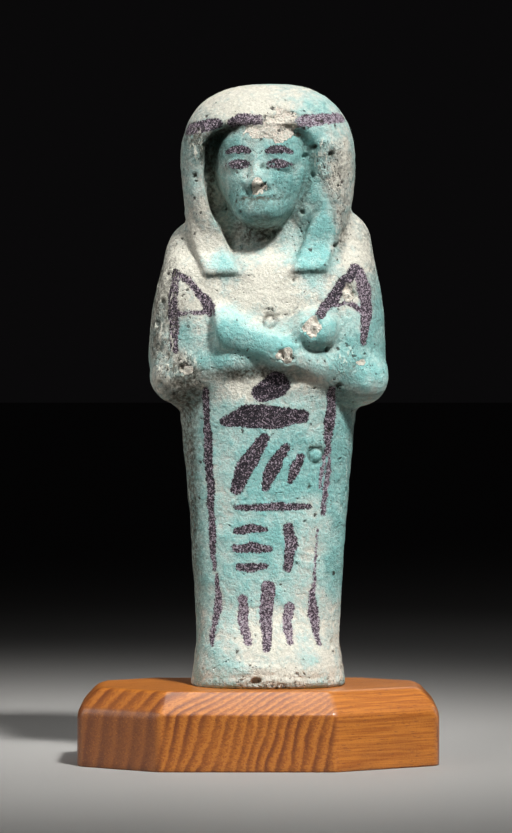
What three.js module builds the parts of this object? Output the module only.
// An ancient Egyptian ushabti: a mummiform funerary figurine pressed from faience, in a tripartite wig, with
// its forearms crossed on its chest, standing on a small bevelled block of wood. The figurine is one solid
// and only rests on the block.
// Millimetres, +Z up, the figurine's front towards -Y, origin at the centre of the block's underside.
import * as THREE from "three";

// ---- Driving dimensions of the wooden block ----
const BLOCK_HEIGHT = 13;
const BEVEL_HEIGHT = 3.6; // the bevel along the whole top edge
const BEVEL_INSET = 3.3;
const CORNER_RADIUS = 1.3; // of the upright edges, as seen from above
// The eight upright sides of the hand-cut block: the way each faces in degrees from +X, and how far it stands
// from the centre. The two front corners are cut unequally.
const BLOCK_SIDES = [
  { faces: 0, distance: 30 },
  { faces: 56, distance: 24.4 },
  { faces: 90, distance: 16.5 },
  { faces: 124, distance: 24.4 },
  { faces: 180, distance: 30 },
  { faces: 235.6, distance: 22.9 },
  { faces: 270, distance: 16.5 },
  { faces: 301, distance: 20.7 },
];

// ---- Driving dimensions of the figurine, in its own frame: z is the height over its soles ----
const FIGURE_AT = new THREE.Vector3(1.6, 1.4, BLOCK_HEIGHT); // its place on the block
const FIGURE_HEIGHT = 100;
const DOME_BASE = 86; // where the crown of the wig starts to close
const DOME_POWER = 2.6;
const WIG_HALF_WIDTH = 14.4;
const HAIRLINE = 93;
const LAPPET_HEM = 68.4; // the lower ends of the wig's two front lappets
const LAPPET_RELIEF = 1.9; // at the shoulders; half as much at their hems
const BACK_HEM = 71.5; // the wig's lower edge at the back
const BACK_RELIEF = 0.9;
const OPENING_DEPTH = 5.5; // how far the wig's front is hollowed round the face
const FACE_AT = new THREE.Vector3(-0.6, -3.4, 85);
const FACE_TURN = THREE.MathUtils.degToRad(8); // the head looks a little to its own right
const SHOULDER_TILT = 0.065; // its left shoulder stands higher, by this much for each millimetre across
const ARCH_RISE = 4.5; // how much higher the trunk's underside is in the middle than at the elbows

// ---- How finely the figurine is faceted ----
const CORE = 11.2; // rays leave from a level line this long to each side of the axis
const FRONT_COLUMNS = 46;
const SIDE_COLUMNS = 15; // from front to back round each end of the line
const BACK_COLUMNS = 8;
const LEVEL_TOP = HAIRLINE; // level rays up to here, then rays that rise to the crown
const DOME_RINGS = 10;
const REACH = 34; // a ray starts this far out, clear of the figurine

// ---- Curves and blends ----

// A smooth curve through stations of [height, value], level beyond its ends.
function profile(...stations) {
  const last = stations.length - 1;
  const slope = (i) => {
    const [low, high] = [stations[Math.max(i - 1, 0)], stations[Math.min(i + 1, last)]];
    return (high[1] - low[1]) / (high[0] - low[0]);
  };
  return (z) => {
    if (z <= stations[0][0]) return stations[0][1];
    if (z >= stations[last][0]) return stations[last][1];
    const i = stations.findIndex(([height]) => height > z) - 1;
    const [[z0, v0], [z1, v1]] = [stations[i], stations[i + 1]];
    const span = z1 - z0;
    const t = (z - z0) / span;
    const [t2, t3] = [t * t, t * t * t];
    return (
      (2 * t3 - 3 * t2 + 1) * v0 +
      (t3 - 2 * t2 + t) * span * slope(i) +
      (3 * t2 - 2 * t3) * v1 +
      (t3 - t2) * span * slope(i + 1)
    );
  };
}

// The nearer of two masses, with a fillet about `blend` wide where they meet.
function join(a, b, blend) {
  const overlap = Math.max(blend - Math.abs(a - b), 0);
  return Math.min(a, b) - (overlap * overlap) / (4 * blend);
}

// What two masses share, with its edge rounded over about `blend`.
const common = (a, b, blend) => -join(-a, -b, blend);

// The first mass with the second cut out of it.
const cut = (a, b, blend) => common(a, -b, blend);

// ---- Masses: each gives a distance in millimetres, negative inside ----

// An upright mass whose level sections are rounded rectangles, deeper or shallower in front than behind.
function column(x, y, halfWidth, front, back, squareness) {
  const depth = y < 0 ? front : back;
  const scaled = Math.pow(
    Math.pow(Math.abs(x) / halfWidth, squareness) + Math.pow(Math.abs(y) / depth, squareness),
    1 / squareness,
  );
  return (scaled - 1) * Math.min(halfWidth, depth);
}

function ellipsoid(x, y, z, at, radii) {
  const scaled = Math.hypot((x - at[0]) / radii[0], (y - at[1]) / radii[1], (z - at[2]) / radii[2]);
  return (scaled - 1) * Math.min(...radii);
}

// A round bar from a to b that tapers from one radius to the other.
function bar(x, y, z, a, b, radiusA, radiusB) {
  const along = [b[0] - a[0], b[1] - a[1], b[2] - a[2]];
  const from = [x - a[0], y - a[1], z - a[2]];
  const dot = (u, v) => u[0] * v[0] + u[1] * v[1] + u[2] * v[2];
  const t = THREE.MathUtils.clamp(dot(from, along) / dot(along, along), 0, 1);
  const off = Math.hypot(from[0] - t * along[0], from[1] - t * along[1], from[2] - t * along[2]);
  return off - THREE.MathUtils.lerp(radiusA, radiusB, t);
}

const legHalfWidth = profile([0, 12.9], [3, 12.5], [8, 12], [20, 12.5], [36, 13.7], [46, 14.6], [50, 15.2]);
const legFront = profile([0, 10.9], [2.5, 11.4], [5, 10.7], [8.5, 9], [13, 8.1], [30, 8.9], [40, 9.7], [50, 10.8]);
const legBack = profile([0, 8.6], [10, 8.1], [30, 8.8], [50, 9.6]);

// The wrapped legs and feet, tapering to the ankles, with the toes a little forward.
const legs = (x, y, z) =>
  common(column(x, y, legHalfWidth(z), legFront(z), legBack(z), 2.5), z - 60, 1);

const torsoHalfWidth = profile(
  [45.4, 12.6], [46.8, 15.8], [48.6, 18], [52, 19.5], [57, 19.7], [65, 18.9], [71, 17.6], [75, 16.5], [77.6, 14.4], [79, 11],
);
const torsoFront = profile(
  [45.4, 7.2], [47.4, 9], [50, 10.4], [54, 11.4], [60, 11.1], [69, 9.4], [73.5, 6.6], [79, 4.2],
);
const torsoBack = profile([46, 8.6], [52, 10], [62, 10.6], [72, 10.2], [79, 6]);

// The trunk with the upper arms in one soft mass, undercut below the elbows and higher in the middle.
function torso(x, y, z) {
  const inFront = THREE.MathUtils.smoothstep(-y, 0, 6) * (1 - THREE.MathUtils.smoothstep(z, 52, 62));
  const arch = ARCH_RISE * Math.exp(-((x / 9) ** 2)) * inFront;
  const mass = column(x, y, torsoHalfWidth(z), torsoFront(z - arch), torsoBack(z), 2.9);
  return Math.max(mass, 44.8 - z, z - 79.4);
}

// The two crossed forearms, the figurine's left one lying over its right, with its hand cut off bluntly.
function forearms(x, y, z) {
  const rightArm = join(
    bar(x, y, z, [-15, -5.4, 51.6], [-5, -8.4, 54.6], 4.5, 3.1),
    bar(x, y, z, [-5, -8.4, 54.6], [4.6, -10.5, 57.6], 3.1, 2.3),
    2.5,
  );
  const rightFist = ellipsoid(x, y, z, [7.6, -10.9, 59.2], [3.7, 3.1, 3.6]);
  const leftArm = join(
    bar(x, y, z, [15, -5.4, 51.4], [3, -10.5, 55.4], 4.8, 2.8),
    bar(x, y, z, [3, -10.5, 55.4], [-8.4, -9.3, 59.6], 2.8, 4.4),
    2,
  );
  const leftHand = common(leftArm, -8.8 - x - 0.12 * (z - 59), 1.2);
  return join(join(rightArm, rightFist, 0.8), leftHand, 0.4);
}

const wigHalfWidth = profile([68, 10], [72, 11.3], [76, 12.9], [79, 13.8], [DOME_BASE, WIG_HALF_WIDTH]);
const wigFront = profile([68, 7.6], [75, 8.6], [80, 9], [86, 9.4], [92, 10.6], [FIGURE_HEIGHT, 11.2]);
const wigBack = profile([66, 9.4], [74, 10], [82, 11.4], [92, 11.8]);
const wigSquareness = profile([70, 5], [86, 4.4], [93, 3.2], [FIGURE_HEIGHT, 2.5]);

// The wig's full-bottomed mass with its domed crown.
function wigMass(x, y, z) {
  const level = column(x, y, wigHalfWidth(z), wigFront(z), wigBack(z), wigSquareness(z));
  const rise = Math.max(z - DOME_BASE, 0) / (FIGURE_HEIGHT - DOME_BASE);
  const size = Math.min(wigHalfWidth(z), wigFront(z));
  const across = Math.max(level / size + 1, 0);
  const domed = Math.pow(Math.pow(across, DOME_POWER) + Math.pow(rise, DOME_POWER), 1 / DOME_POWER);
  return Math.max((domed - 1) * size, LAPPET_HEM - z);
}

// The edge where a lappet turns to the face, and the one where it meets the shoulder: how far each is from the
// middle at each height.
const lappetInner = profile([LAPPET_HEM, 3.8], [70.5, 4.8], [75, 6.9], [80, 9.3], [84, 10.2], [90, 10.1]);
const lappetOuter = profile([LAPPET_HEM, 10.1], [72.5, 11.5], [76, 12.5], [80, 13]);

// The two lappets lie on the chest, thinning towards their hems, and are cut square below.
function lappets(x, y, z, chest) {
  const across = Math.abs(x + 0.4);
  const outline = common(
    common(lappetInner(z) - across, across - lappetOuter(z), 0.6),
    Math.max(LAPPET_HEM - z, z - 79),
    0.6,
  );
  const relief = LAPPET_RELIEF * (0.5 + 0.5 * THREE.MathUtils.smoothstep(z, LAPPET_HEM, 76));
  return common(common(chest - relief, outline, 1.2), y + 1, 0.6);
}

// The wig's back panel lies over the shoulders and ends in a level hem.
const backPanel = (x, y, z, chest) =>
  common(
    common(chest - BACK_RELIEF, Math.max(BACK_HEM - z, z - 80), 0.8),
    Math.max(Math.abs(x) - 12.4, 1 - y),
    0.8,
  );

// The hollow in the wig's front that frames the face: an arch, open below between the lappets. Its floor is a
// deep groove beside the right cheek, and on the left it runs out up to the wig's front.
function faceOpening(x, y, z) {
  const { smoothstep } = THREE.MathUtils;
  const across = Math.abs(x + 0.4);
  const rise = Math.max(z - DOME_BASE, 0) / (HAIRLINE - DOME_BASE);
  const arch = Math.pow(Math.pow(across / lappetInner(DOME_BASE), 3.6) + Math.pow(rise, 3.6), 1 / 3.6) - 1;
  const outline = z > DOME_BASE ? arch * 8 : across - lappetInner(z);
  const edge = lappetInner(z) * Math.pow(1 - Math.pow(Math.min(rise, 1), 3.6), 1 / 3.6);
  const shallow = smoothstep(x, edge - 8.5, edge - 0.3) * (0.45 + 0.55 * smoothstep(z, 73, 82));
  const deep = OPENING_DEPTH * (1 - shallow) + smoothstep(-x, 3, 7);
  return common(outline, y + wigFront(z) - deep, 1);
}

// The face: calm, on even thirds from hairline to chin, turned with the head.
function face(x, y, z) {
  const [cos, sin] = [Math.cos(FACE_TURN), Math.sin(FACE_TURN)];
  const u = (x - FACE_AT.x) * cos - (y - FACE_AT.y) * sin;
  const v = (x - FACE_AT.x) * sin + (y - FACE_AT.y) * cos;
  const w = z - FACE_AT.z;
  const side = Math.abs(u);
  let head = ellipsoid(u / (1 + 0.03 * Math.min(w, 3)), v, w, [0, 0, 0], [8.1, 8, 9.8]);
  head = join(head, ellipsoid(u, v, w, [0, 0.6, 5.4], [7.9, 7.9, 5.6]), 1.5); // forehead
  head = join(head, ellipsoid(u, v, w, [0, -5.3, -6], [4, 3.7, 2.7]), 2.6); // chin
  head = cut(head, ellipsoid(side, v, w, [3.3, -9.2, 1.4], [2.9, 1.9, 1.5]), 1.3); // eye sockets
  const nose = join(
    bar(u, v, w, [0, -6.9, 2.7], [0, -8.5, -1.6], 0.7, 1.2),
    ellipsoid(side, v, w, [1.15, -7.5, -1.8], [0.95, 1.1, 0.85]),
    0.8,
  );
  const lips = ellipsoid(u, v, w, [0, -7.4, -4.3], [2.2, 1, 1]);
  return join(join(head, nose, 1.1), lips, 0.7);
}

const neck = (x, y, z) => Math.max(column(x + 0.6, y, 7.5, 6.4, 6, 2), 66 - z, z - 84);

// The whole figurine as one mass.
function figurine(x, y, z) {
  const level = THREE.MathUtils.smoothstep(z, 58, 78);
  const tilted = z - SHOULDER_TILT * x * level * (1 - THREE.MathUtils.smoothstep(z, 78, 84));
  const chest = torso(x, y, tilted);
  const hair = cut(
    join(wigMass(x, y, z), lappets(x, y, tilted, chest), 1.2),
    faceOpening(x, y, tilted),
    0.9,
  );
  const head = join(hair, join(face(x, y, z), neck(x, y, z), 0.8), 1);
  const body = join(join(legs(x, y, z), chest, 1.6), forearms(x, y, z), 1.1);
  return join(join(body, head, 0.6), backPanel(x, y, tilted, chest), 1);
}

// ---- Faceting ----

// How far out along a ray the mass ends, from outside in.
function surfaceAlong(mass, origin, direction) {
  const at = (t) => mass(origin.x + t * direction.x, origin.y + t * direction.y, origin.z + t * direction.z);
  let outside = REACH;
  const step = REACH / 150;
  while (outside > step && at(outside - step) > 0) outside -= step;
  let inside = outside - step;
  for (let halving = 0; halving < 24; halving++) {
    const middle = (inside + outside) / 2;
    if (at(middle) > 0) outside = middle;
    else inside = middle;
  }
  return inside;
}

// Levels from the soles to the hairline: wide apart on the legs, close over the arms and the wig.
function levels() {
  const spacing = profile([0, 1], [3, 2.6], [12, 3.6], [40, 3.4], [47, 1.2], [62, 1.35], [74, 1.15], [DOME_BASE, 1.3]);
  const found = [0];
  while (found.at(-1) < LEVEL_TOP - 0.7) found.push(Math.min(found.at(-1) + spacing(found.at(-1)), LEVEL_TOP));
  return found;
}

// The rays of one ring, from the middle of the back round the right side to the front and on: where each leaves
// the core line, and the way it turns. They run side by side in front and behind, and fan out round the ends.
function columns() {
  const half = BACK_COLUMNS / 2;
  const spread = (count, ray) => Array.from({ length: count }, (_, i) => ray(i / count));
  return [
    ...spread(half, (t) => ({ across: -CORE * t, turn: 0 })),
    ...spread(SIDE_COLUMNS, (t) => ({ across: -CORE, turn: Math.PI * t })),
    ...spread(FRONT_COLUMNS, (t) => ({ across: CORE * (2 * t - 1), turn: Math.PI })),
    ...spread(SIDE_COLUMNS, (t) => ({ across: CORE, turn: Math.PI * (1 + t) })),
    ...spread(half, (t) => ({ across: CORE * (1 - t), turn: 0 })),
  ];
}

// The two triangles of a quad, split along its shorter diagonal.
function quad(points, a, b, c, d) {
  const between = (i, j) => points[i].distanceToSquared(points[j]);
  return between(a, c) <= between(b, d) ? [a, b, c, a, c, d] : [a, b, d, b, c, d];
}

// The figurine's faceted solid: rings of level rays up to the hairline, then rings of rising rays to the crown.
function figurineGeometry() {
  const rings = levels().map((z) => ({ z, rise: 0 }));
  for (let i = 1; i < DOME_RINGS; i++) rings.push({ z: LEVEL_TOP, rise: (i / DOME_RINGS) * (Math.PI / 2) });

  const rays = columns();
  const points = [];
  for (const { z, rise } of rings) {
    for (const { across, turn } of rays) {
      const origin = new THREE.Vector3(across * Math.cos(rise), 0, z);
      const direction = new THREE.Vector3(
        -Math.sin(turn) * Math.cos(rise),
        Math.cos(turn) * Math.cos(rise),
        Math.sin(rise),
      );
      points.push(direction.multiplyScalar(surfaceAlong(figurine, origin, direction)).add(origin));
    }
  }
  const [soleCentre, crown] = [points.length, points.length + 1];
  const middle = new THREE.Vector3(0, 0, LEVEL_TOP);
  const crownReach = surfaceAlong(figurine, middle, new THREE.Vector3(0, 0, 1));
  points.push(new THREE.Vector3(), middle.clone().setZ(LEVEL_TOP + crownReach));

  const count = rays.length;
  const faces = [];
  for (let i = 0; i < count; i++) {
    const next = (i + 1) % count;
    faces.push(soleCentre, next, i);
    for (let ring = 0; ring < rings.length - 1; ring++) {
      const [a, b] = [ring * count + i, ring * count + next];
      faces.push(...quad(points, a, b, b + count, a + count));
    }
    const top = (rings.length - 1) * count;
    faces.push(top + i, top + next, crown);
  }
  const geometry = new THREE.BufferGeometry().setFromPoints(points);
  geometry.setIndex(faces);
  geometry.computeVertexNormals();
  return geometry;
}

// ---- The wooden block ----

// The block's outline, inset by a distance, with each corner rounded by the same number of points.
function blockOutline(inset, radius) {
  const sides = BLOCK_SIDES.map(({ faces, distance }) => {
    const turn = THREE.MathUtils.degToRad(faces);
    return { normal: new THREE.Vector2(Math.cos(turn), Math.sin(turn)), turn, distance: distance - inset };
  });
  const cornerSteps = 4;
  const points = [];
  sides.forEach((side, i) => {
    const next = sides[(i + 1) % sides.length];
    // The centre of the corner's round is where the two sides, moved in by its radius, cross.
    const [d1, d2] = [side.distance - radius, next.distance - radius];
    const cross = side.normal.cross(next.normal);
    const centre = new THREE.Vector2(
      (d1 * next.normal.y - d2 * side.normal.y) / cross,
      (d2 * side.normal.x - d1 * next.normal.x) / cross,
    );
    const sweep = (next.turn - side.turn + 2 * Math.PI) % (2 * Math.PI);
    for (let step = 0; step <= cornerSteps; step++) {
      const turn = side.turn + (sweep * step) / cornerSteps;
      points.push(new THREE.Vector2(centre.x + radius * Math.cos(turn), centre.y + radius * Math.sin(turn)));
    }
  });
  return points;
}

// The block's faceted solid: outlines stacked from the underside, over the bevel, to the top.
function blockGeometry() {
  const bevelFoot = BLOCK_HEIGHT - BEVEL_HEIGHT;
  const soften = 0.5; // the edges above and below the bevel are eased by hand
  const stack = [
    { z: 0, inset: 0.3 },
    { z: 0.3, inset: 0 },
    { z: bevelFoot - soften, inset: 0 },
    { z: bevelFoot + soften * 0.5, inset: soften * 0.6 },
    { z: BLOCK_HEIGHT - soften * 0.6, inset: BEVEL_INSET - soften * 0.5 },
    { z: BLOCK_HEIGHT, inset: BEVEL_INSET + soften },
  ];
  const rings = stack.map(({ z, inset }) =>
    blockOutline(inset, Math.max(CORNER_RADIUS - inset * 0.2, 0.5)).map((p) => [p.x, p.y, z]),
  );
  const count = rings[0].length;
  const positions = rings.flat(2);
  const [under, over] = [rings.length * count, rings.length * count + 1];
  positions.push(0, 0, 0, 0, 0, BLOCK_HEIGHT);
  const faces = [];
  for (let i = 0; i < count; i++) {
    const next = (i + 1) % count;
    faces.push(under, next, i);
    for (let ring = 0; ring < rings.length - 1; ring++) {
      const [a, b] = [ring * count + i, ring * count + next];
      faces.push(a, b, b + count, a, b + count, a + count);
    }
    const top = (rings.length - 1) * count;
    faces.push(top + i, top + next, over);
  }
  const geometry = new THREE.BufferGeometry();
  geometry.setAttribute("position", new THREE.Float32BufferAttribute(positions, 3));
  geometry.setIndex(faces);
  geometry.computeVertexNormals();
  return geometry;
}

// ---- The object ----

const faience = new THREE.MeshStandardMaterial({ color: 0x8cc4c4, roughness: 0.55, metalness: 0 });
const wood = new THREE.MeshStandardMaterial({ color: 0x8f4f22, roughness: 0.42, metalness: 0 });

const block = new THREE.Mesh(blockGeometry(), wood);
block.name = "wooden_stand";

const ushabti = new THREE.Mesh(figurineGeometry(), faience);
ushabti.name = "ushabti";
ushabti.position.copy(FIGURE_AT);

const object = new THREE.Group();
object.add(block, ushabti);

export default object;
